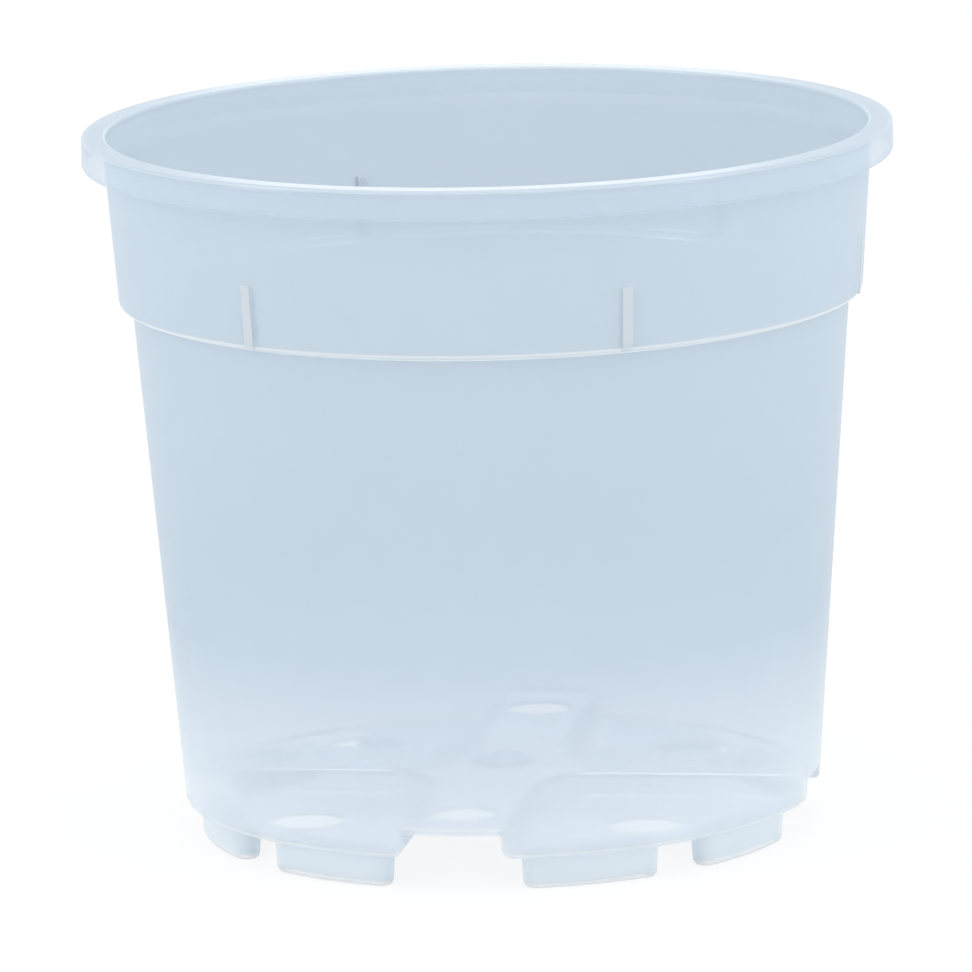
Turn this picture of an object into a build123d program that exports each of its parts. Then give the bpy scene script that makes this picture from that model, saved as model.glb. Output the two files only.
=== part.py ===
from build123d import *
import math
import os

os.makedirs("parts", exist_ok=True)

# The pot stands on z = 0, on its feet, with the two air channels along X and Y.
# It is one injection moulding, so every wall has the same thickness.

# Driving sizes in mm
wall = 0.65

# Body, a plain cone that widens upward
body_bottom_radius = 47.35
body_top_radius = 53.2
base_bevel = 0.7

# Shoulder, where the body steps out to the collar, a wider cone
shoulder_height = 80.2
shoulder_step = 1.9
collar_height = 25.4
collar_flare = 1.9
collar_bevel = 0.7

# Rolled rim: the collar turns over at the top and ends in a short skirt
rim_overhang = 3.0
rim_drop = 5.0
rim_bevel = 0.9

# Base plate
floor_height = 5.0

# Air channels that cross under the pot, open at both ends of each arm
channel_width = 14.8
channel_rise = 3.8
channel_draft = 2.0
channel_flare = 1.3
channel_bevel = 0.7
channel_crossing = 10.0

# Feet, curved and hollow from above, two in each quarter
foot_inset = 3.65
foot_width = 4.4
foot_draft = 3.0
foot_bevel = 0.7
foot_end_bevel = 1.4
foot_channel_gap = 2.0
foot_middle_gap = 6.4

# Drain holes on one circle, in the channel tops and in the floor between them
drain_inset = 11.65
channel_drain_radius = 4.9
floor_drain_radius = 5.6
drain_pairs = 4

# Stacking ribs inside the collar
rib_count = 6
rib_height = 9.0
rib_width = 1.3
rib_depth_top = 0.9
rib_depth_bottom = 1.3

# Gate disc at the middle of the crossing
gate_radius = 4.7
gate_rise = 0.25

# How far a tool runs past the solid that it cuts or joins
overrun = 3.0

# Two bevels on a right corner stay one wall apart when the inner is shorter by this share of the wall
bevel_share = 2 - math.sqrt(2)

# Turns
quarter_turns = 4
full_turn = 360.0
quarter = full_turn / quarter_turns
eighth = quarter / 2

# Sizes that follow
height = shoulder_height + collar_height
collar_bottom_radius = body_top_radius + shoulder_step
collar_top_radius = collar_bottom_radius + collar_flare
collar_lean_share = collar_flare / collar_height
ledge_height = shoulder_height + wall
ledge_radius = collar_bottom_radius - wall + wall * collar_lean_share
rim_radius = collar_top_radius + rim_overhang
rib_top_radius = ledge_radius + rib_height * collar_lean_share
floor_top = floor_height + wall
channel_top = floor_top + channel_rise
channel_reach = body_bottom_radius + overrun
foot_radius = body_bottom_radius - foot_inset
drain_circle_radius = body_bottom_radius - drain_inset
groove_ceiling = height - wall
groove_inner_radius = collar_top_radius - wall * collar_lean_share
skirt_inner_radius = rim_radius - wall
skirt_edge = height - rim_drop
groove_bevel = rim_bevel - bevel_share * wall


def corner_at(sketch, radius, level):
    """The corner of a half section in the XZ plane that lies nearest to a radius and a height."""
    return sketch.vertices().sort_by_distance((radius, level))[0]


def channel_form(grow):
    """Both air channels as one raised cross on a plate, every surface moved out by grow."""
    level = floor_height + grow
    with BuildPart() as form:
        with BuildSketch(Plane.XY.offset(level - wall)):
            Rectangle(2 * (channel_reach + overrun), 2 * (channel_reach + overrun))
        extrude(amount=wall)
        with BuildSketch(Plane.XY.offset(level)) as cross:
            Rectangle(2 * channel_reach, channel_width + 2 * grow)
            Rectangle(channel_width + 2 * grow, 2 * channel_reach)
            inner_corners = cross.vertices().sort_by_distance((0, 0, level))[:quarter_turns]
            fillet(inner_corners, radius=channel_crossing - grow)
        extrude(amount=channel_rise, taper=channel_draft)
        plate_top, ridge_top = form.faces().filter_by(Axis.Z).sort_by(Axis.Z)[-2:]
        chamfer(plate_top.inner_wires()[0].edges(), length=channel_flare - bevel_share * grow)
        chamfer(ridge_top.edges(), length=channel_bevel - bevel_share * (wall - grow))
    return form.part


def foot_pair(inset):
    """The two feet of one quarter as solids, every surface moved in by inset."""
    channel_side = math.asin((channel_width / 2 + foot_channel_gap) / foot_radius) + inset / foot_radius
    middle_side = math.asin(foot_middle_gap / (2 * foot_radius)) + inset / foot_radius
    start = math.degrees(channel_side)
    turn = eighth - start - math.degrees(middle_side)
    with BuildPart() as pair:
        with BuildSketch(Plane.XY.offset(floor_top)) as plan:
            for first in (start, quarter - start - turn):
                with BuildLine():
                    outer = CenterArc((0, 0), foot_radius + foot_width / 2 - inset, first, turn)
                    inner = CenterArc((0, 0), foot_radius - foot_width / 2 + inset, first, turn)
                    Line(outer @ 0, inner @ 0)
                    Line(outer @ 1, inner @ 1)
                make_face()
            chamfer(plan.vertices(), length=foot_end_bevel - bevel_share * inset)
        extrude(amount=inset - floor_top, taper=foot_draft)
    return pair.part


with BuildPart() as core:
    with BuildSketch(Plane.XZ) as core_half:
        with BuildLine():
            Polyline(
                (0, floor_top),
                (body_bottom_radius - wall, floor_top),
                (body_top_radius - wall, ledge_height),
                (ledge_radius, ledge_height),
                (collar_top_radius - wall, height),
                (collar_top_radius - wall, height + overrun),
                (0, height + overrun),
                close=True,
            )
        make_face()
    revolve(axis=Axis.Z)
    add(channel_form(wall), mode=Mode.SUBTRACT)
    with PolarLocations(0, quarter_turns):
        add(foot_pair(wall))

with BuildPart() as rib:
    with BuildSketch(Plane.XZ):
        with BuildLine():
            Polyline(
                (ledge_radius + wall / 2, ledge_height - wall / 2),
                (ledge_radius - rib_depth_bottom, ledge_height - wall / 2),
                (rib_top_radius - rib_depth_top, ledge_height + rib_height),
                (rib_top_radius + wall / 2, ledge_height + rib_height),
                close=True,
            )
        make_face()
    extrude(amount=rib_width / 2, both=True)

with BuildPart() as pot:
    with BuildSketch(Plane.XZ) as half:
        with BuildLine():
            Polyline(
                (0, floor_height),
                (body_bottom_radius, floor_height),
                (body_top_radius, shoulder_height),
                (collar_bottom_radius, shoulder_height),
                (groove_inner_radius, groove_ceiling),
                (skirt_inner_radius, groove_ceiling),
                (skirt_inner_radius, skirt_edge),
                (rim_radius, skirt_edge),
                (rim_radius, height),
                (0, height),
                close=True,
            )
        make_face()
        chamfer(corner_at(half, body_bottom_radius, floor_height), length=base_bevel)
        chamfer(corner_at(half, collar_bottom_radius, shoulder_height), length=collar_bevel)
        chamfer(corner_at(half, rim_radius, height), length=rim_bevel)
        chamfer(corner_at(half, skirt_inner_radius, groove_ceiling), length=groove_bevel)
        chamfer(corner_at(half, groove_inner_radius, groove_ceiling), length=groove_bevel)
    revolve(axis=Axis.Z)
    add(channel_form(0), mode=Mode.SUBTRACT)
    with PolarLocations(0, quarter_turns):
        add(foot_pair(0))
    soles = pot.faces().group_by(Axis.Z)[0]
    chamfer(soles.edges(), length=foot_bevel)
    add(core.part, mode=Mode.SUBTRACT)
    top_rings = pot.edges().filter_by(GeomType.CIRCLE).group_by(Axis.Z)[-1]
    chamfer(top_rings.sort_by(SortBy.LENGTH)[0], length=rim_bevel)
    with BuildSketch(Plane.XY.offset(channel_top + overrun)):
        with PolarLocations(drain_circle_radius, drain_pairs):
            Circle(channel_drain_radius)
        with PolarLocations(drain_circle_radius, drain_pairs, start_angle=eighth):
            Circle(floor_drain_radius)
    extrude(amount=-channel_top - overrun, mode=Mode.SUBTRACT)
    with PolarLocations(0, rib_count):
        add(rib.part)
    with BuildSketch(Plane.XY.offset(channel_top - wall / 2)):
        Circle(gate_radius)
    extrude(amount=wall / 2 + gate_rise)

pot.part.label = "pot"
export_step(pot.part, "parts/pot.step")
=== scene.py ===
# %% [markdown]
# # A clear orchid pot with air slots
#
# Orchid roots want light and air, so their pots are moulded in clear plastic, with slots under the base.
# This lesson dresses one such pot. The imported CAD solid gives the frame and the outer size, and every
# surface here is worked out again with finer, rounder edges, which a clear wall shows more than any other.

import bpy
import numpy as np
from mathutils import Matrix, Vector
from mathutils.geometry import delaunay_2d_cdt


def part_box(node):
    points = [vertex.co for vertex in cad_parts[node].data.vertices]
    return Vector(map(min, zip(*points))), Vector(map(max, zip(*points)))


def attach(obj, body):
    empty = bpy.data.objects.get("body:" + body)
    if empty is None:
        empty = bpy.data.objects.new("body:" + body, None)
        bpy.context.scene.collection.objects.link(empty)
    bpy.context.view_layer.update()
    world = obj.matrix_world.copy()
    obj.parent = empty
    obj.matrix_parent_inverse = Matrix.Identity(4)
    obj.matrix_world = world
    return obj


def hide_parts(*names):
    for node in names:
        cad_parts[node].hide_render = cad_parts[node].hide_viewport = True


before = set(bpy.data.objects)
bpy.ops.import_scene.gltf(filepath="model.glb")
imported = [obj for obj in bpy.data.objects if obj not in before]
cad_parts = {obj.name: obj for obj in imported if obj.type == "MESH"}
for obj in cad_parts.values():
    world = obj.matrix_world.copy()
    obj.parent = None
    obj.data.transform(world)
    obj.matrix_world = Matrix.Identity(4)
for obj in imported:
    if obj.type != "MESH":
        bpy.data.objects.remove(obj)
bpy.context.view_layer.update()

# %% [markdown]
# ## The sizes of the moulding
#
# A mould is cut from a few driving sizes. The rim and the height are read from the CAD node, and the
# other sizes step inward and downward from them, so the pot keeps its proportions with its frame.

# %% Sizes in millimetres
MM = 0.001
pot_low, pot_high = np.array(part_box("pot")) / MM
rim_radius = (pot_high[0] - pot_low[0]) / 2
rim_top = pot_high[2]

wall = 0.65
rim_overhang = 3.0
rim_drop = 4.5
collar_height = 25.4
collar_flare = 1.9
shoulder_step = 1.9
body_taper = 5.85
floor_height = 5.0

collar_top_radius = rim_radius - rim_overhang
collar_bottom_radius = collar_top_radius - collar_flare
body_top_radius = collar_bottom_radius - shoulder_step
body_bottom_radius = body_top_radius - body_taper
shoulder_height = rim_top - collar_height
skirt_edge = rim_top - rim_drop
print("rim radius", round(rim_radius, 2), "base radius", round(body_bottom_radius, 2))
print("height", round(rim_top, 2))

# %% [markdown]
# ## Rounded paths
#
# No edge of a moulding is sharp, because molten plastic doesn't fill a sharp corner and a blade cuts it
# that way. A profile can be drawn by hand, point by point, or as straight runs with a radius at each
# corner, as a mould maker writes it. The second way is used, so that each radius is one number.

# %% A path with rounded corners
def rounded_path(corners, radii, steps=6):
    """Straight runs joined by arcs, as points from the first corner to the last.

    At an inner corner the path turns by an angle t. The arc of radius r starts r times the tangent of
    t / 2 before the corner. Its centre lies r to the inside, and its points are the centre, less the
    inward direction times r cos(a), plus the arriving direction times r sin(a), for a from 0 to t.
    """
    corners = np.array(corners, float)
    radii = np.array(radii, float)[:, None]
    runs = np.diff(corners, axis=0)
    runs /= np.linalg.norm(runs, axis=1, keepdims=True)
    arriving, leaving = runs[:-1], runs[1:]
    cosine = np.sum(arriving * leaving, axis=1, keepdims=True)
    turn = np.arccos(cosine)
    inward = (leaving - cosine * arriving) / np.sin(turn)
    start = corners[1:-1] - arriving * radii * np.tan(turn / 2)
    centre = start + inward * radii
    angle = (turn * np.linspace(0, 1, steps + 1))[:, :, None]
    reach = radii[:, :, None]
    arcs = centre[:, None] - inward[:, None] * reach * np.cos(angle)
    arcs += arriving[:, None] * reach * np.sin(angle)
    return np.vstack([corners[:1], arcs.reshape(-1, 2), corners[-1:]])


def with_spacing(path, spacing):
    """The same path with more points, so that no two are further apart than the spacing.

    The extra points are set at equal steps of the length along the path.
    """
    length = np.concatenate([[0], np.cumsum(np.linalg.norm(np.diff(path, axis=0), axis=1))])
    places = np.union1d(length, np.arange(spacing / 2, length[-1], spacing))
    return np.stack([np.interp(places, length, path[:, 0]), np.interp(places, length, path[:, 1])], axis=1)


trial_path = rounded_path([(0, 0), (10, 0), (10, 10)], [2.0])
spaced_path = with_spacing(trial_path, 1.0)
print("a right corner of radius 2 takes", len(trial_path), "points,", len(spaced_path), "when spaced")

# %% [markdown]
# ## The wall, from base to rim and back down inside
#
# The real wall is one skin of even thickness: up the body, out at the shoulder, up the collar, over the
# rim and down a short skirt. A Solidify modifier could thicken a single surface, but then the radius
# inside a corner follows from the one outside. Here the outline is one path of radius against height that
# goes up the outside and comes back down the inside, so each corner has its own radius on each side.

# %% Corners and radii of the wall's section
collar_lean_share = collar_flare / collar_height
ledge_height = shoulder_height + wall
ledge_radius = collar_bottom_radius - wall + wall * collar_lean_share
floor_top = floor_height + wall
groove_ceiling = rim_top - wall
groove_inner_radius = collar_top_radius - wall * collar_lean_share
base_corner, floor_corner = 1.1, 0.45
shoulder_inside, shoulder_outside = 0.4, 1.1
rim_corner, rim_inner_corner, groove_corner = 0.5, 0.45, 0.2
skirt_corner, skirt_back_corner = 0.5, 0.1
run_in = 4.0

outline_corners = [
    (body_bottom_radius - run_in, floor_height),
    (body_bottom_radius, floor_height),
    (body_top_radius, shoulder_height),
    (collar_bottom_radius, shoulder_height),
    (groove_inner_radius, groove_ceiling),
    (rim_radius - wall, groove_ceiling),
    (rim_radius - wall, skirt_edge),
    (rim_radius, skirt_edge),
    (rim_radius, rim_top),
    (collar_top_radius - wall, rim_top),
    (ledge_radius, ledge_height),
    (body_top_radius - wall, ledge_height),
    (body_bottom_radius - wall, floor_top),
    (body_bottom_radius - wall - run_in, floor_top),
]
outline_radii = [
    base_corner, shoulder_inside, shoulder_outside, groove_corner, groove_corner, skirt_back_corner,
    skirt_corner, rim_corner, rim_inner_corner, shoulder_outside - wall, shoulder_inside + wall, floor_corner,
]
print("corners in the wall's section:", len(outline_radii))

# %% The section as points
row_spacing = 4.0
outline = with_spacing(rounded_path(outline_corners, outline_radii)[1:-1], row_spacing)
top_row = int(np.argmax(outline[:, 1]))
outer_outline = outline[:top_row]
inner_outline = outline[top_row:][::-1]


def wall_radius(height, grow):
    """The wall's radius at a height, on its outer face where grow is 0 and on its inner face otherwise."""
    side = inner_outline if grow else outer_outline
    body = side[: int(np.argmax(side[:, 1] > shoulder_height - shoulder_outside))]
    return np.interp(height, body[:, 1], body[:, 0])


print("points in the wall's section:", len(outline))

# %% [markdown]
# ## The crossed air channels
#
# Two channels cross under the base and come out as four slots in the wall. Each side of a channel is the
# same short profile: it flares out of the base plate, climbs with a little draft so that the pot leaves
# the mould, and rounds over into the roof. It could be cut with Booleans, but they leave ragged edges in
# a thin clear wall. The profile is carried along the channel's plan instead, and ends on the wall.

# %% The profile of a channel's side
channel_width = 14.8
channel_rise = 3.8
channel_draft = np.radians(2.0)
channel_flare = 1.9
channel_top_corner = 1.0


def channel_profile(grow):
    """Half width against height up one side of a channel, moved out of the channel by grow."""
    level = floor_height + grow
    foot = channel_width / 2 + grow
    top = foot - channel_rise * np.tan(channel_draft)
    roof = level + channel_rise
    corners = [(foot + run_in, level), (foot, level), (top, roof), (top - run_in, roof)]
    return rounded_path(corners, [channel_flare - grow, channel_top_corner - wall + grow])[1:-1]


print("points up the side of a channel:", len(channel_profile(0)))

# %% The profile carried round the crossing
channel_crossing = 10.0
straight_steps, arc_steps = 14, 16


def channel_side(grow):
    """One quadrant's channel side as a grid of points, from the slot on X to the slot on Y.

    Each profile point runs straight in from where it meets the wall, at the square root of the wall
    radius squared less the half width squared. Then it goes round the crossing on a quarter circle about
    one centre, and straight out again.
    """
    half, level = channel_profile(grow).T
    centre = channel_width / 2 + channel_crossing
    meets = np.sqrt(wall_radius(level, grow) ** 2 - half**2)
    share = np.linspace(0, 1, straight_steps)[:, None]
    angle = np.linspace(1.5 * np.pi, np.pi, arc_steps + 1)[1:-1, None]
    run = meets + share * (centre - meets)
    along = np.vstack([run, centre + (centre - half) * np.cos(angle), half + 0 * share])
    across = np.vstack([half + 0 * share, centre + (centre - half) * np.sin(angle), run[::-1]])
    return np.stack([along, across, level + 0 * along], axis=2)


print("points in a channel side:", channel_side(0).shape)

# %% [markdown]
# ## Where the wall meets the slots
#
# Along its foot the wall ends on the base plate, except at a slot, where it ends higher, on the slot's
# edge. Slots could be cut out of a finished wall, but the cut leaves thin slivers that shade badly. So
# the columns of the wall are set out by the points of that edge, and slide to equal steps higher up.

# %% The foot of the wall
slot_columns, plate_columns = 5, 26


def wall_foot(grow):
    """Angle and height of the wall's foot all the way round, for one face of the wall."""
    half, level = channel_profile(grow).T
    side = np.arcsin(half / wall_radius(level, grow))
    roof = np.linspace(0, side[-1], slot_columns, endpoint=False)
    plate = np.linspace(side[0], np.pi / 4, plate_columns + 1)[1:]
    eighth = np.concatenate([roof, side[::-1], plate])
    height = np.concatenate([level[-1] + 0 * roof, level[::-1], level[0] + 0 * plate])
    quarter = np.concatenate([eighth, (np.pi / 2 - eighth[::-1])[1:-1]])
    quarter_height = np.concatenate([height, height[::-1][1:-1]])
    turns = np.arange(4)[:, None] * np.pi / 2
    return (quarter + turns).ravel(), np.tile(quarter_height, 4)


print("columns in the wall:", len(wall_foot(0)[0]))

# %% The wall as one grid
settle_height = 30.0


def wall_grid():
    """The whole wall as points on rows up the section and columns round the axis.

    A row below the settling height is moved towards the foot by the share of the way down that is left,
    both in height and in angle, and its radius is read again from the section.
    """
    count = len(wall_foot(0)[0])
    radius = np.repeat(outline[:, :1], count, axis=1)
    height = np.repeat(outline[:, 1:], count, axis=1)
    angle = np.tile(np.arange(count) * 2 * np.pi / count, (len(outline), 1))
    for grow, rows in ((0, np.arange(len(outline)) < top_row), (wall, np.arange(len(outline)) >= top_row)):
        foot_angle, foot_height = wall_foot(grow)
        level = floor_height + grow
        low = rows & (outline[:, 1] < settle_height)
        share = (settle_height - outline[low, 1:]) / (settle_height - level)
        height[low] += share * (foot_height - level)
        angle[low] += share * (foot_angle - angle[low])
        radius[low] = wall_radius(height[low], grow)
    return np.stack([radius * np.cos(angle), radius * np.sin(angle), height], axis=2)


print("points in the wall:", wall_grid().shape)

# %% [markdown]
# ## Feet
#
# Eight hollow feet lift the pot so that water and air pass under it. Each is an arc with round ends,
# like a slot cut in a ring, with drafted sides and a rounded sole. An extruded arc with a Bevel modifier
# would come close, but without the draft. Here the outline is a loop that depends on the half width
# alone, so a profile of half width against height makes the whole foot.

# %% Where the feet stand
foot_inset = 4.2
foot_width = 4.4
foot_channel_gap = 2.0
foot_middle_gap = 7.0

foot_radius = body_bottom_radius - foot_inset
foot_round = foot_width / 2 / foot_radius
foot_first = np.arcsin((channel_width / 2 + foot_channel_gap) / foot_radius) + foot_round
foot_last = np.pi / 4 - np.arcsin(foot_middle_gap / 2 / foot_radius) - foot_round
print("a foot runs from", np.degrees(foot_first).round(1), "to", np.degrees(foot_last).round(1), "degrees")

# %% The side of a foot
foot_draft = np.radians(3.0)
foot_corner = 1.0
foot_arc_steps, foot_end_steps = 20, 10


def foot_side(inset):
    """The side and rounded edge of one foot as a grid, moved in by inset.

    The loop is the outer arc, a half circle round its end, the inner arc back and the other half circle.
    """
    mouth = foot_width / 2 - inset
    level = floor_height + inset
    corners = [
        (mouth - (floor_top - level) * np.tan(foot_draft), level),
        (mouth - (floor_top - inset) * np.tan(foot_draft), inset),
        (0, inset),
    ]
    half, height = rounded_path(corners, [foot_corner - inset])[:-1].T
    sweep = np.linspace(foot_first, foot_last, foot_arc_steps)[:, None]
    turn = np.linspace(0, np.pi, foot_end_steps)[1:-1, None]
    loop_x = np.vstack([
        (foot_radius + half) * np.cos(sweep),
        foot_radius * np.cos(foot_last) + half * np.cos(foot_last + turn),
        (foot_radius - half) * np.cos(sweep[::-1]),
        foot_radius * np.cos(foot_first) - half * np.cos(foot_first + turn),
    ])
    loop_y = np.vstack([
        (foot_radius + half) * np.sin(sweep),
        foot_radius * np.sin(foot_last) + half * np.sin(foot_last + turn),
        (foot_radius - half) * np.sin(sweep[::-1]),
        foot_radius * np.sin(foot_first) - half * np.sin(foot_first + turn),
    ])
    return np.stack([loop_x, loop_y, height + 0 * loop_x], axis=2)


print("points in a foot:", foot_side(0).shape)

# %% [markdown]
# ## Flat places and drain holes
#
# What is left is flat: the roof of the channels, the base plate between them, and the soles. A flat place
# with holes is filled by a constrained Delaunay triangulation between its outline and its holes, which
# needs no grid and adds no point. Eight round drain holes lie on one circle, four in the roof and four
# in the plate.

# %% Drain holes
drain_inset = 11.65
channel_drain_radius = 4.9
floor_drain_radius = 5.6
drain_circle_radius = body_bottom_radius - drain_inset
hole_steps = 48


def circle(x, y, radius, steps=hole_steps):
    """Points round a circle: the centre plus the radius times the cosine and sine of equal steps."""
    angle = np.arange(steps) * 2 * np.pi / steps
    return np.stack([x + radius * np.cos(angle), y + radius * np.sin(angle)], axis=1)


print("points round a drain hole:", len(circle(0, 0, floor_drain_radius)))
print("the holes lie on a circle of", round(drain_circle_radius, 2), "mm")

# %% Fill a flat outline
fill_with_holes, fill_tolerance = 2, 1e-6


def fill_flat(loops, level):
    """Triangles between an outline and the holes in it, all at one height."""
    starts = np.cumsum([0] + [len(loop) for loop in loops])
    rings = [list(range(start, start + len(loop))) for start, loop in zip(starts, loops)]
    points = [Vector(point) for point in np.vstack(loops).tolist()]
    filled, _, faces, *_ = delaunay_2d_cdt(points, [], rings, fill_with_holes, fill_tolerance)
    flat = np.array([tuple(point) for point in filled])
    return np.column_stack([flat, np.full(len(flat), level)]), faces


sole_points, sole_faces = fill_flat([foot_side(0)[:, -1, :2]], 0)
print("a sole takes", len(sole_points), "points and", len(sole_faces), "triangles")

# %% Turn and mirror
def turned(points, quarter_turns):
    """Points turned about the pot's axis by quarter turns, exactly: x, y becomes -y, x each time."""
    points = np.array(points, float)
    for _ in range(quarter_turns % 4):
        points[..., 0], points[..., 1] = -points[..., 1].copy(), points[..., 0].copy()
    return points


def mirrored(points):
    """Points mirrored in the diagonal between X and Y, which carries each foot of a pair to the other."""
    points = np.array(points, float)
    points[..., [0, 1]] = points[..., [1, 0]]
    return points


print("a point on X, turned once:", turned([(1, 0)], 1).tolist())
print("and mirrored:", mirrored([(1, 0)]).tolist())

# %% [markdown]
# ## Put the moulding together
#
# Each surface is a patch of points and faces. The patches could stay objects of their own, but clear
# plastic shows every gap and every face too many. Neighbouring patches were given the same edge points,
# so merging points that coincide welds them into one closed skin.

# %% Faces of a grid
def grid_faces(rows, columns, closed=False):
    """Quads of a grid that is counted row by row. A closed grid joins its last column to its first."""
    index = np.arange(rows * columns).reshape(rows, columns)
    if closed:
        index = np.hstack([index, index[:, :1]])
    quads = [index[:-1, :-1], index[:-1, 1:], index[1:, 1:], index[1:, :-1]]
    return np.stack(quads, axis=-1).reshape(-1, 4).tolist()


print("faces in the wall:", len(grid_faces(*wall_grid().shape[:2], closed=True)))

# %% The patches of the base
def base_patches(grow):
    """One face of the base: channel sides, roof, plate and feet. The underside has grow 0."""
    patches = []
    side = channel_side(grow)
    foot = foot_side(grow)
    foot_angle, foot_height = wall_foot(grow)
    count = len(foot_angle) // 4
    foot_points = np.stack([
        wall_radius(foot_height, grow) * np.cos(foot_angle),
        wall_radius(foot_height, grow) * np.sin(foot_angle),
    ], axis=1)
    corner = slot_columns + side.shape[1]
    roof_level = floor_height + grow + channel_rise
    roof_outline, roof_holes = [], []
    plate_edge = foot_points[corner : count - corner + 1]
    slot_edge = turned(np.vstack([foot_points[-slot_columns + 1 :], foot_points[:slot_columns]]), 1)
    drain = drain_circle_radius * np.sqrt(0.5)
    plate = fill_flat([
        np.vstack([side[:, 0, :2], plate_edge[::-1]]),
        foot[:, 0, :2],
        mirrored(foot[:, 0, :2]),
        circle(drain, drain, floor_drain_radius),
    ], floor_height + grow)
    sole = fill_flat([foot[:, -1, :2]], grow)
    for turns in range(4):
        patches.append((turned(side, turns), grid_faces(*side.shape[:2])))
        patches.append((turned(plate[0], turns), plate[1]))
        for reflect in (np.array, mirrored):
            loops = turned(reflect(foot).transpose(1, 0, 2), turns)
            patches.append((loops, grid_faces(*loops.shape[:2], closed=True)))
            patches.append((turned(reflect(sole[0]), turns), sole[1]))
        roof_outline += [turned(side[:, -1, :2], turns), turned(slot_edge, turns)]
        roof_holes.append(turned(circle(drain_circle_radius, 0, channel_drain_radius), turns))
    patches.append(fill_flat([np.vstack(roof_outline)] + roof_holes, roof_level))
    return patches


print("patches in the base:", len(base_patches(0) + base_patches(wall)))

# %% The patches of the drain holes
def hole_patches():
    """The short walls of the drain holes, straight up from the underside to the upper side."""
    drain = drain_circle_radius * np.sqrt(0.5)
    patches = []
    for ring, level in (
        (circle(drain_circle_radius, 0, channel_drain_radius), floor_height + channel_rise),
        (circle(drain, drain, floor_drain_radius), floor_height),
    ):
        rings = np.stack([np.column_stack([ring, np.full(len(ring), z)]) for z in (level, level + wall)])
        patches += [(turned(rings, turns), grid_faces(2, len(ring), True)) for turns in range(4)]
    return patches


print("patches in the drain holes:", len(hole_patches()))

# %% [markdown]
# ## Ribs and gate
#
# Six short ribs stand on the ledge inside the collar. They hold a stacked pot off the wall, so that a
# pile of pots comes apart. The plastic entered the mould at the middle of the base, which leaves a low
# disc there. Cutting room for them in the wall's grid would complicate it, so both are closed forms of
# their own, sunk a little into the wall.

# %% The ribs
rib_count = 6
rib_height = 9.0
rib_width = 1.6
rib_depth_top, rib_depth_bottom = 0.9, 1.3
rib_corner = 0.3
sunk = wall / 2
rib_back = wall + 0.02
rib_rows = 10


def rib_grid(turn):
    """One rib: a U across, rounded at its nose, carried up the collar while it gets shallower.

    The U is drawn with its nose at 1 mm, and then the nose is moved to the rib's depth at each height.
    """
    nose, side = 1.0, rib_width / 2
    across = rounded_path(
        [(-rib_back, -side), (nose, -side), (nose, side), (-rib_back, side)], [rib_corner, rib_corner],
    )
    share = np.linspace(0, 1, rib_rows)[:, None]
    back = ledge_radius + share * rib_height * collar_lean_share
    depth = rib_depth_bottom + share * (rib_depth_top - rib_depth_bottom)
    inward = np.where(across[:, 0] > 0, across[:, 0] - nose + depth, across[:, 0])
    radial = back - inward
    sideways = across[:, 1] + 0 * share
    height = ledge_height - sunk + share * (rib_height + sunk) + 0 * radial
    return np.stack([
        radial * np.cos(turn) - sideways * np.sin(turn),
        radial * np.sin(turn) + sideways * np.cos(turn),
        height,
    ], axis=2)


def rib_patches():
    """All six ribs, each closed at its foot and head by one flat face."""
    patches = []
    for turn in np.arange(rib_count) * 2 * np.pi / rib_count:
        grid = rib_grid(turn)
        rows, columns = grid.shape[:2]
        ends = [list(range(columns)), list(range((rows - 1) * columns, rows * columns))]
        patches.append((grid, grid_faces(rows, columns, True) + ends))
    return patches


print("points in a rib:", rib_grid(0).shape)

# %% The gate disc
gate_radius, gate_rise, gate_corner = 4.7, 0.25, 0.2


def gate_patch():
    """The gate disc: a flat disc with a rounded edge, turned about the axis and closed underneath."""
    foot, top = floor_top + channel_rise - sunk, floor_top + channel_rise + gate_rise
    path = rounded_path([(gate_radius, foot), (gate_radius, top), (0, top)], [gate_corner])[:-1]
    angle = np.arange(hole_steps) * 2 * np.pi / hole_steps
    grid = np.stack([
        path[:, :1] * np.cos(angle), path[:, :1] * np.sin(angle), np.repeat(path[:, 1:], hole_steps, axis=1),
    ], axis=2)
    rows = len(path)
    ends = [list(range(hole_steps)), list(range((rows - 1) * hole_steps, rows * hole_steps))]
    return grid, grid_faces(rows, hole_steps, True) + ends


print("points in the gate disc:", gate_patch()[0].shape)

# %% [markdown]
# ## Weld the patches
#
# Points within two thousandths of a millimetre of each other become one, and then all faces are turned
# outward. Faces that meet at more than 50 degrees keep a sharp shade between them, and all others shade
# as one smooth skin. A closed skin has no open edge, and the print below counts them.

# %% Weld patches into one skin
import bmesh

weld_distance = 0.002
sharp_angle = np.radians(50)


def weld(name, patches):
    """A mesh object from patches in millimetres: points merged, faces turned outward, places in metres."""
    points, faces, start = [], [], 0
    for patch, patch_faces in patches:
        patch = np.reshape(patch, (-1, 3))
        points.append(patch)
        faces += [[start + corner for corner in face] for face in patch_faces]
        start += len(patch)
    mesh = bpy.data.meshes.new(name)
    mesh.from_pydata((np.vstack(points) * MM).tolist(), [], faces)
    shape = bmesh.new()
    shape.from_mesh(mesh)
    bmesh.ops.remove_doubles(shape, verts=shape.verts, dist=weld_distance * MM)
    bmesh.ops.recalc_face_normals(shape, faces=shape.faces)
    open_edges = sum(1 for edge in shape.edges if len(edge.link_faces) != 2)
    shape.to_mesh(mesh)
    shape.free()
    mesh.shade_smooth()
    mesh.set_sharp_from_angle(angle=sharp_angle)
    thing = bpy.data.objects.new(name, mesh)
    bpy.context.scene.collection.objects.link(thing)
    print(name, "has", len(mesh.vertices), "points and", len(mesh.polygons), "faces")
    print("open edges:", open_edges)
    return thing


print("weld distance", weld_distance, "mm")

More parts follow.
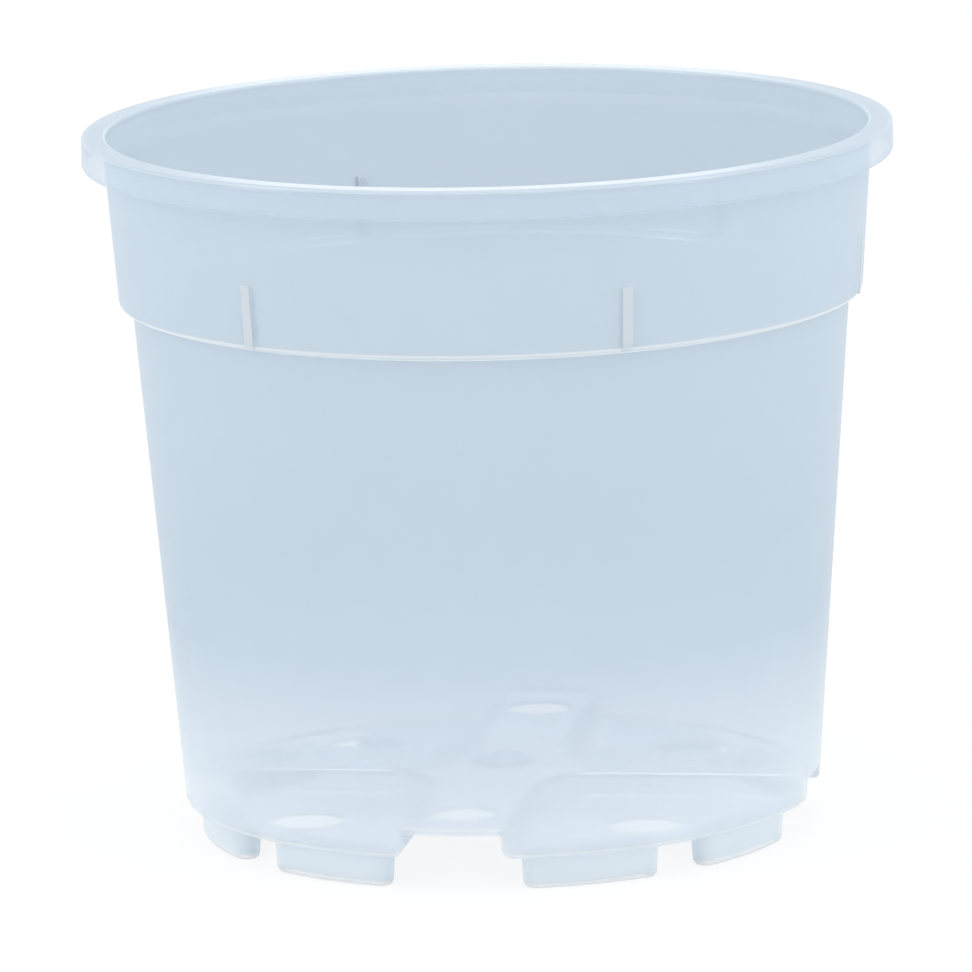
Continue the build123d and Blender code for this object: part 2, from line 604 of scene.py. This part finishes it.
# %% The pot
wall_points = wall_grid()
skin = [(wall_points, grid_faces(*wall_points.shape[:2], closed=True))]
skin += base_patches(0) + base_patches(wall) + hole_patches()
pot = weld("moulded_pot", skin + rib_patches() + [gate_patch()])
even = pot.modifiers.new("normals that follow the large faces", "WEIGHTED_NORMAL")
even.keep_sharp = True

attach(pot, "root")
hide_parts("pot")
print("the pot stands for the node pot and rides on root")

# %% [markdown]
# ## Measure the rounded edges
#
# In clear plastic each rounded edge bends light from every side towards the eye, so it shows as a pale line,
# and the tighter it is, the whiter the line. Tracing that light is slow and noisy in a wall this thin. So the
# curvature is measured on the mesh instead, face by face, and the pale lines are painted on from it as painted
# highlights.

# %% Measure the curvature of each face
# Painted highlight: it starts at the low curvature and is full at the high one, in radians per mm.
curve_low, curve_full = 0.7, 1.0
sharp_turn = np.radians(40.0)


def mesh_values(items, name, width, kind=float):
    """One property of all faces, edges or loops of a mesh as an array with so many values a row."""
    values = np.empty(len(items) * width, kind)
    items.foreach_get(name, values)
    return values.reshape(-1, width) if width > 1 else values


def skin_curves(mesh):
    """How tightly the skin curves at each face, from 0 to 1, and how many sharp edges the face has.

    Across an edge the skin turns by the angle between the normals of its two faces. The curvature of a
    face is the sum over its edges of turn times edge length, over twice its area, in radians per mm.
    """
    normal = mesh_values(mesh.polygons, "normal", 3)
    area = mesh_values(mesh.polygons, "area", 1) / MM**2
    corners = mesh_values(mesh.polygons, "loop_total", 1, int)
    edge = mesh_values(mesh.loops, "edge_index", 1, int)
    ends = mesh_values(mesh.edges, "vertices", 2, int)
    place = mesh_values(mesh.vertices, "co", 3) / MM
    length = np.linalg.norm(place[ends[:, 0]] - place[ends[:, 1]], axis=1)
    face_of_loop = np.repeat(np.arange(len(corners)), corners)
    pairs = face_of_loop[np.argsort(edge, kind="stable")].reshape(-1, 2)
    cosine = np.sum(normal[pairs[:, 0]] * normal[pairs[:, 1]], axis=1)
    turn = np.arccos(np.clip(cosine, -1, 1))
    sharp = turn > sharp_turn
    sharp_edges = np.bincount(pairs.ravel(), np.repeat(sharp, 2), len(corners))
    turn[sharp] = 0
    bend = np.bincount(pairs.ravel(), np.repeat(turn * length, 2), len(corners)) / (2 * area)
    return np.clip((bend - curve_low) / (curve_full - curve_low), 0, 1), sharp_edges


curved, sharp_edges = skin_curves(pot.data)
print("faces on curved edges:", int((curved > 0.5).sum()), "of", len(curved))

# %% [markdown]
# ## Mark painted light and clearer places
#
# Ribs, the walls of the drain holes, the feet, the gate disc and the line where a channel's roof meets the
# wall look paler than the plain wall, and here that is painted light: the rounded edges, the hole walls and
# the slot line get painted highlights, and the ribs, the feet and the gate disc get painted light that lifts
# the shade they lie in. The rolled rim is the other way round: its skirt hangs in front of the collar, and two
# walls would look much denser than they do. Each place is found by radius and height, and kept as numbers on
# its faces.

# %% Mark the places
# The shares are painted light. Rounded edges, hole walls and the slot line get painted highlights, with less
# on the rim's top. Ribs, feet and the gate disc get painted light that lifts their shade.
rib_share, hole_share, slot_share, rim_share = 0.6, 0.5, 0.6, 0.15
foot_painted_light, gate_painted_light = 1.0, 0.4
slot_line_height = 0.4
margin, rib_margin, edge_margin = 0.01, 0.2, 0.05


def store(mesh, name, values):
    """Keep one number for each face of a mesh under a name that a material can read."""
    mesh.attributes.new(name, "FLOAT", "FACE").data.foreach_set("value", np.asarray(values, np.float32))


def mark_places(mesh, curved, sharp_edges):
    """Store "curved", the painted light and "clear", from 0 to 1, on each face, by where its centre lies."""
    centre = mesh_values(mesh.polygons, "center", 3) / MM
    radius, height = np.hypot(centre[:, 0], centre[:, 1]), centre[:, 2]
    collar_inside = ledge_radius + (height - ledge_height) * collar_lean_share
    off_wall = (radius < collar_inside - wall / 4) | (radius > collar_inside + wall + margin)
    on_rib = off_wall & (height > ledge_height + rib_margin) & (height < ledge_height + rib_height + sunk)
    in_hole = sharp_edges >= 2
    roof_top = floor_top + channel_rise
    in_slot = np.minimum(np.abs(centre[:, 0]), np.abs(centre[:, 1])) < channel_width / 2
    in_slot &= radius > body_bottom_radius - wall - 2 * edge_margin
    on_slot_line = in_slot & (height > roof_top) & (height < roof_top + slot_line_height)
    outside_collar = radius > groove_inner_radius + wall
    on_skirt = outside_collar & (height > skirt_edge - wall) & (height < groove_ceiling)
    on_skirt_edge = outside_collar & (height > shoulder_height) & (height < skirt_edge + wall)
    on_foot = height < floor_height - edge_margin
    on_gate = (radius < gate_radius + sunk) & (height > roof_top - wall)
    on_gate &= height < floor_height + 2 * channel_rise
    # Painted highlights go on rounded edges, with less on the rim's top and none on the collar's outside up to
    # the skirt's edge. Hole walls and the slot line get them too, and the ribs get painted light against their
    # shade.
    shares = np.where(height > groove_ceiling, rim_share, 1.0) * ~on_skirt_edge
    marks = [rib_share * on_rib, hole_share * in_hole, slot_share * on_slot_line]
    curved = np.maximum.reduce([curved * shares, *marks])
    store(mesh, "curved", curved)
    # Painted light: the feet and the gate disc are painted whiter, which lifts the shade they lie in.
    store(mesh, "painted_light", np.maximum.reduce([curved, foot_painted_light * on_foot, gate_painted_light * on_gate]))
    store(mesh, "clear", on_skirt | on_gate)
    print("faces on ribs:", int(on_rib.sum()), "on feet:", int(on_foot.sum()), "in holes:", int(in_hole.sum()))
    print("faces over slots:", int(on_slot_line.sum()), "on the skirt:", int(on_skirt.sum()))


mark_places(pot.data, curved, sharp_edges)

# %% [markdown]
# ## Colours and nodes
#
# A colour is written as a screen shows it, as a hex value, and turned to the linear light that the
# renderer works in. One small function adds a node with its settings and its links.

# %% Colour and node helpers
def linear(hex_value):
    """Linear RGBA of an sRGB hex colour, by the sRGB curve: a straight foot, then a power of 2.4."""
    srgb = np.array([int(hex_value[i : i + 2], 16) for i in (1, 3, 5)]) / 255
    light = np.where(srgb <= 0.04045, srgb / 12.92, ((srgb + 0.055) / 1.055) ** 2.4)
    return (*light.tolist(), 1.0)


def add_node(tree, kind, links=None, inputs=None, **settings):
    """Add a node, set its own settings and its inputs' values, and link its inputs to outputs."""
    node = tree.nodes.new(kind)
    for name, value in settings.items():
        setattr(node, name, value)
    for socket, value in (inputs or {}).items():
        node.inputs[socket].default_value = value
    for socket, output in (links or {}).items():
        tree.links.new(output, node.inputs[socket])
    return node


def empty_material(name):
    """A material with an empty node tree."""
    material = bpy.data.materials.new(name)
    material.use_nodes = True
    material.node_tree.nodes.clear()
    return material


print("middle grey in linear light:", [round(value, 3) for value in linear("#808080")[:3]])

# %% [markdown]
# ## Moulded clear polypropylene
#
# These pots are polypropylene, clear but a little milky. Part of the light goes straight through, so the
# far wall shows. The rest scatters in the plastic and leaves a pale, cool veil. The skin is glossy, since
# the mould is polished, but never quite flat. A glass shader would bend the view behind it, which a thin
# wall hardly does, so straight-through light, scattered light and gloss are mixed here.
#
# The veil comes first: how much of the light each face of the wall holds back. Matched to the photograph,
# it is least at the base and rises to the rim. A slanting view meets more of it, as in any clear sheet.

# %% How dense the veil is
foot_veil, body_veil, more_at_rim = 0.30, 0.49, 0.13
low_veil_end, high_veil_start, high_veil_end = 40 * MM, 50 * MM, 95 * MM
cloud_size, cloud_depth = 25 * MM, 0.02
noise_low, noise_high = 0.3, 0.7
painted_light_veil, clear_part = 0.25, 0.5
slant_power, slant_veil_depth = 3.0, 0.45


def veil_density(tree, place, height, painted_light, facing):
    """The share of light that one face holds back: height, clouds and places of painted light, and then the
    slant.
    """
    # The melt cools unevenly, which leaves soft clouds in the veil, about 25 mm across.
    clouds = add_node(tree, "ShaderNodeTexNoise", {"Vector": place}, {"Scale": 1 / cloud_size, "Detail": 2.0})
    cloud_veil = add_node(
        tree, "ShaderNodeMapRange", {"Value": clouds.outputs["Fac"]},
        {"From Min": noise_low, "From Max": noise_high, "To Min": -cloud_depth, "To Max": cloud_depth},
    )
    low_veil = add_node(
        tree, "ShaderNodeMapRange", {"Value": height},
        {"From Max": low_veil_end, "To Min": foot_veil, "To Max": body_veil},
    )
    high_veil = add_node(
        tree, "ShaderNodeMapRange", {"Value": height},
        {"From Min": high_veil_start, "From Max": high_veil_end, "To Max": more_at_rim},
    )
    height_veil = add_node(
        tree, "ShaderNodeMath", {0: low_veil.outputs[0], 1: high_veil.outputs[0]}, operation="ADD",
    )
    veil = add_node(
        tree, "ShaderNodeMath", {0: cloud_veil.outputs[0], 1: height_veil.outputs[0]}, operation="ADD",
    )
    # Painted light: faces with painted highlights or painted lift of shade get a denser veil as well.
    dense = add_node(tree, "ShaderNodeMath", {0: painted_light}, {1: painted_light_veil}, operation="MULTIPLY")
    dense_veil = add_node(tree, "ShaderNodeMath", {0: veil.outputs[0], 1: dense.outputs[0]}, operation="ADD")
    # The skirt and the gate put more faces in the line of sight, so each of them is drawn clearer.
    clear = add_node(tree, "ShaderNodeAttribute", attribute_name="clear")
    clear_share = add_node(
        tree, "ShaderNodeMapRange", {"Value": clear.outputs["Fac"]}, {"To Min": 1.0, "To Max": clear_part},
    )
    flat_veil = add_node(
        tree, "ShaderNodeMath", {0: dense_veil.outputs[0], 1: clear_share.outputs[0]}, operation="MULTIPLY",
    )
    # A slanting view passes through more plastic, so the veil thickens where the skin turns away.
    slant = add_node(tree, "ShaderNodeMath", {0: facing}, {1: slant_power}, operation="POWER")
    slant_veil = add_node(
        tree, "ShaderNodeMath", {0: slant.outputs[0]}, {1: slant_veil_depth}, operation="MULTIPLY",
    )
    veil_all = add_node(
        tree, "ShaderNodeMath", {0: flat_veil.outputs[0], 1: slant_veil.outputs[0]},
        operation="ADD", use_clamp=True,
    )
    return veil_all.outputs[0]


print("light past one wall, at the middle:", round((1 - body_veil) ** 2, 2))

# %% [markdown]
# ## How white the veil is
#
# Over most of the wall the veil is a cool grey blue. In the photograph it is whiter towards the base and at
# the rim, and here that whiteness is painted light. Towards the base it lifts the shade that falls low in the
# pot and under it, and round the skirt it lifts the shade that the skirt casts on the collar. The flat top of
# the rim stays blue. It could all be painted as a texture, but height tells these places apart well enough.
# The marks of painted light are whitest, and the larger of the shares counts.

# %% How white the veil is
# Painted light by height: whiter towards the base, and round the skirt up to just under the rim's top.
white_from, white_full = 34 * MM, 8 * MM
rim_painted_light = 0.35
rim_fade, top_fade_start, top_fade_end = 1.5, 1.4, 0.4


def veil_painted_light(tree, height, painted_light):
    """The share of white in the veil's colour, from 0 to 1, all painted light: by height and from the marks of
    painted light.
    """
    # Painted light: whiter towards the base, which lifts the shade that falls low in the pot and under it.
    base_painted_light = add_node(
        tree, "ShaderNodeMapRange", {"Value": height}, {"From Min": white_from, "From Max": white_full},
    )
    # Painted light: a whiter band from the skirt's edge up, which lifts the shade that the skirt casts on the
    # collar. Near the top of the rim it is taken out again.
    rim_band_painted_light = add_node(
        tree, "ShaderNodeMapRange", {"Value": height},
        {
            "From Min": (skirt_edge - rim_fade) * MM, "From Max": (skirt_edge + rim_fade) * MM,
            "To Max": rim_painted_light,
        },
    )
    top_loss = add_node(
        tree, "ShaderNodeMapRange", {"Value": height},
        {
            "From Min": (rim_top - top_fade_start) * MM, "From Max": (rim_top - top_fade_end) * MM,
            "To Max": rim_painted_light,
        },
    )
    skirt_painted_light = add_node(
        tree, "ShaderNodeMath", {0: rim_band_painted_light.outputs["Result"], 1: top_loss.outputs["Result"]},
        operation="SUBTRACT",
    )
    height_painted_light = add_node(
        tree, "ShaderNodeMath", {0: base_painted_light.outputs["Result"], 1: skirt_painted_light.outputs[0]},
        operation="MAXIMUM",
    )
    white = add_node(tree, "ShaderNodeMath", {0: height_painted_light.outputs[0], 1: painted_light}, operation="MAXIMUM")
    return white.outputs[0]


print("the veil turns white from", round(white_from / MM), "mm up down to", round(white_full / MM), "mm")

# %% [markdown]
# ## The finish
#
# The skin mirrors a little when looked at straight on, and more at a slant. A tight corner throws light
# back from many sides too, which makes the pale lines bright. The plain gloss shader is used for both,
# and not one for solid plastic, which would hide what lies behind. Veil, clear part and gloss are then
# mixed in that order.

# %% The pot's material
cool_grey, cool_white, clear_tint = "#D6E2EB", "#F6FCFF", "#FAFCFF"
swell_size, swell_depth, swell_strength = 6 * MM, 0.05 * MM, 0.08
front_lit_share = 0.65
straight_gloss, slanting_gloss, corner_gloss_share = 0.04, 0.22, 0.4
gloss_power, gloss_roughness = 5.0, 0.18


def moulded_clear_polypropylene():
    """Clear polypropylene, injection moulded: a thin milky veil that the eye sees through."""
    material = empty_material("moulded_clear_polypropylene")
    tree = material.node_tree
    place = add_node(tree, "ShaderNodeTexCoord").outputs["Object"]
    height = add_node(tree, "ShaderNodeSeparateXYZ", {"Vector": place}).outputs["Z"]
    painted_light = add_node(tree, "ShaderNodeAttribute", attribute_name="painted_light").outputs["Fac"]
    curved = add_node(tree, "ShaderNodeAttribute", attribute_name="curved").outputs["Fac"]
    # A polished mould still leaves a faint swell of about 6 mm in the skin.
    swell = add_node(tree, "ShaderNodeTexNoise", {"Vector": place}, {"Scale": 1 / swell_size, "Detail": 1.0})
    skin = add_node(
        tree, "ShaderNodeBump", {"Height": swell.outputs["Fac"]},
        {"Strength": swell_strength, "Distance": swell_depth},
    )
    facing_node = add_node(tree, "ShaderNodeLayerWeight", {"Normal": skin.outputs["Normal"]}, {"Blend": 0.5})
    facing = facing_node.outputs["Facing"]
    # The veil's colour: cool grey, turned towards cool white where light is painted.
    tint = add_node(
        tree, "ShaderNodeMix", {"Factor": veil_painted_light(tree, height, painted_light)},
        {"A": linear(cool_grey), "B": linear(cool_white)}, data_type="RGBA",
    )
    through = add_node(tree, "ShaderNodeBsdfTransparent", inputs={"Color": linear(clear_tint)})
    back_lit = add_node(tree, "ShaderNodeBsdfTranslucent", {"Color": tint.outputs["Result"]})
    front_lit = add_node(tree, "ShaderNodeBsdfDiffuse", {"Color": tint.outputs["Result"]})
    scattered = add_node(
        tree, "ShaderNodeMixShader", {1: back_lit.outputs[0], 2: front_lit.outputs[0]}, {0: front_lit_share},
    )
    plastic = add_node(
        tree, "ShaderNodeMixShader",
        {0: veil_density(tree, place, height, painted_light, facing), 1: through.outputs[0], 2: scattered.outputs[0]},
    )
    # Gloss rises towards a grazing view with one less the cosine, to the fifth power, from 4 percent.
    grazing = add_node(tree, "ShaderNodeMath", {0: facing}, {1: gloss_power}, operation="POWER")
    edge = add_node(
        tree, "ShaderNodeMapRange", {"Value": grazing.outputs[0]},
        {"To Min": straight_gloss, "To Max": slanting_gloss},
    )
    corner_gloss = add_node(tree, "ShaderNodeMath", {0: curved}, {1: corner_gloss_share}, operation="MULTIPLY")
    gloss_share = add_node(
        tree, "ShaderNodeMath", {0: edge.outputs["Result"], 1: corner_gloss.outputs[0]}, operation="MAXIMUM",
    )
    gloss = add_node(
        tree, "ShaderNodeBsdfAnisotropic", {"Normal": skin.outputs["Normal"]}, {"Roughness": gloss_roughness},
    )
    surface = add_node(
        tree, "ShaderNodeMixShader", {0: gloss_share.outputs[0], 1: plastic.outputs[0], 2: gloss.outputs[0]},
    )
    add_node(tree, "ShaderNodeOutputMaterial", {"Surface": surface.outputs[0]})
    print(material.name, "has", len(tree.nodes), "nodes")
    return material


pot.data.materials.append(moulded_clear_polypropylene())

# %% [markdown]
# ## Floor and light
#
# A clear object takes its look from what is behind it. Product photographs of clear plastic use a white
# table and a white wall, so the edges draw themselves as darker lines. The floor and the world show white
# to the camera and keep a plain level of light for the object.

# %% A white floor
seen_white = 0.8


def white_table():
    """White laminate, matt: camera rays see it as white, and the pot's shadow stays on it."""
    material = empty_material("white_matt_laminate")
    tree = material.node_tree
    ray = add_node(tree, "ShaderNodeLightPath")
    seen = add_node(
        tree, "ShaderNodeMath", {0: ray.outputs["Is Camera Ray"], 1: ray.outputs["Is Glossy Ray"]},
        operation="MAXIMUM",
    )
    seen_or_through = add_node(
        tree, "ShaderNodeMath", {0: seen.outputs[0], 1: ray.outputs["Is Transmission Ray"]},
        operation="MAXIMUM",
    )
    white_share = add_node(
        tree, "ShaderNodeMath", {0: seen_or_through.outputs[0]}, {1: seen_white}, operation="MULTIPLY",
    )
    matt = add_node(tree, "ShaderNodeBsdfDiffuse", inputs={"Color": linear("#F9F9F9")})
    white = add_node(tree, "ShaderNodeEmission", inputs={"Color": linear("#FFFFFF"), "Strength": 1.0})
    surface = add_node(
        tree, "ShaderNodeMixShader", {0: white_share.outputs[0], 1: matt.outputs[0], 2: white.outputs[0]},
    )
    add_node(tree, "ShaderNodeOutputMaterial", {"Surface": surface.outputs[0]})
    return material


floor_half_width = 3.0
corners = np.array([(-1, -1, 0), (1, -1, 0), (1, 1, 0), (-1, 1, 0)]) * floor_half_width
floor_mesh = bpy.data.meshes.new("table")
floor_mesh.from_pydata(corners.tolist(), [], [(0, 1, 2, 3)])
table = bpy.data.objects.new("table", floor_mesh)
bpy.context.scene.collection.objects.link(table)
table.data.materials.append(white_table())
print("table", 2 * floor_half_width, "m wide")

# %% A white world
world = bpy.data.worlds.new("white studio")
bpy.context.scene.world = world
world.use_nodes = True
world.node_tree.nodes.clear()
world_white = add_node(
    world.node_tree, "ShaderNodeBackground", inputs={"Color": linear("#FFFFFF"), "Strength": 1.0},
)
add_node(world.node_tree, "ShaderNodeOutputWorld", {"Surface": world_white.outputs[0]})
print("world strength", world_white.inputs["Strength"].default_value)

# %% [markdown]
# ## Lamps
#
# The world alone would light the pot evenly from all sides, so large soft boxes to the left, to the right
# and above give the wall its form. A narrow one stands behind the pot, opposite the camera. The flat top
# of the rim mirrors it only in the middle, as the bright line there shows in the photograph. Sun lamps
# would draw hard lines in such a glossy skin instead.

# %% Soft boxes
def soft_box(name, place, width, height, watts):
    """A rectangular lamp that faces the middle of the pot."""
    lamp = bpy.data.lights.new(name, "AREA")
    lamp.shape = "RECTANGLE"
    lamp.size, lamp.size_y, lamp.energy = width, height, watts
    box = bpy.data.objects.new(name, lamp)
    box.location = place
    aim = Vector((0, 0, rim_top * MM / 2)) - Vector(place)
    box.rotation_euler = aim.to_track_quat("-Z", "Y").to_euler()
    bpy.context.scene.collection.objects.link(box)


for name, place, width, height, watts in (
    ("top soft box", (0.0, -0.1, 0.9), 0.6, 0.6, 1.0),
    ("left soft box", (-0.8, -0.5, 0.5), 0.3, 0.7, 1.5),
    ("right soft box", (0.8, -0.3, 0.5), 0.3, 0.7, 1.3),
    ("back soft box", (-0.23, 1.38, 0.4), 0.16, 0.3, 0.4),
):
    soft_box(name, place, width, height, watts)
    print(name, watts, "W")

# %% [markdown]
# ## Camera
#
# The camera stands about 1.4 m away with a long lens, a little above the rim, as in the photograph. It is
# rolled by 1.4 degrees, because the pot leans a little to the left there. It could be placed by eye, but
# a fit of rim, shoulder, base and feet to their outlines in the photograph is more exact.

# %% The camera
camera_azimuth = np.radians(9.4)
camera_elevation = np.radians(11.19)
camera_distance = 1426.5
camera_roll = np.radians(-1.42)
aim_height = 50.0
focal_length_pixels = 9572.0
image_size = 972
sensor_width = 36.0
centre_column, centre_row = 495.8, 493.2

backward = Vector((
    np.sin(camera_azimuth) * np.cos(camera_elevation),
    -np.cos(camera_azimuth) * np.cos(camera_elevation),
    np.sin(camera_elevation),
))
camera_data = bpy.data.cameras.new("photo camera")
camera_data.sensor_width = sensor_width
camera_data.lens = focal_length_pixels / image_size * sensor_width
camera_data.shift_x = -(centre_column - image_size / 2) / image_size
camera_data.shift_y = (centre_row - image_size / 2) / image_size
camera = bpy.data.objects.new("photo camera", camera_data)
look = backward.to_track_quat("Z", "Y").to_matrix()
camera.matrix_world = (
    Matrix.Translation(Vector((0, 0, aim_height * MM)) + backward * camera_distance * MM)
    @ (look @ Matrix.Rotation(camera_roll, 3, "Z")).to_4x4()
)
bpy.context.scene.collection.objects.link(camera)
bpy.context.scene.camera = camera
bpy.context.scene.view_settings.view_transform = "Standard"
print("lens", round(camera_data.lens, 1), "mm")
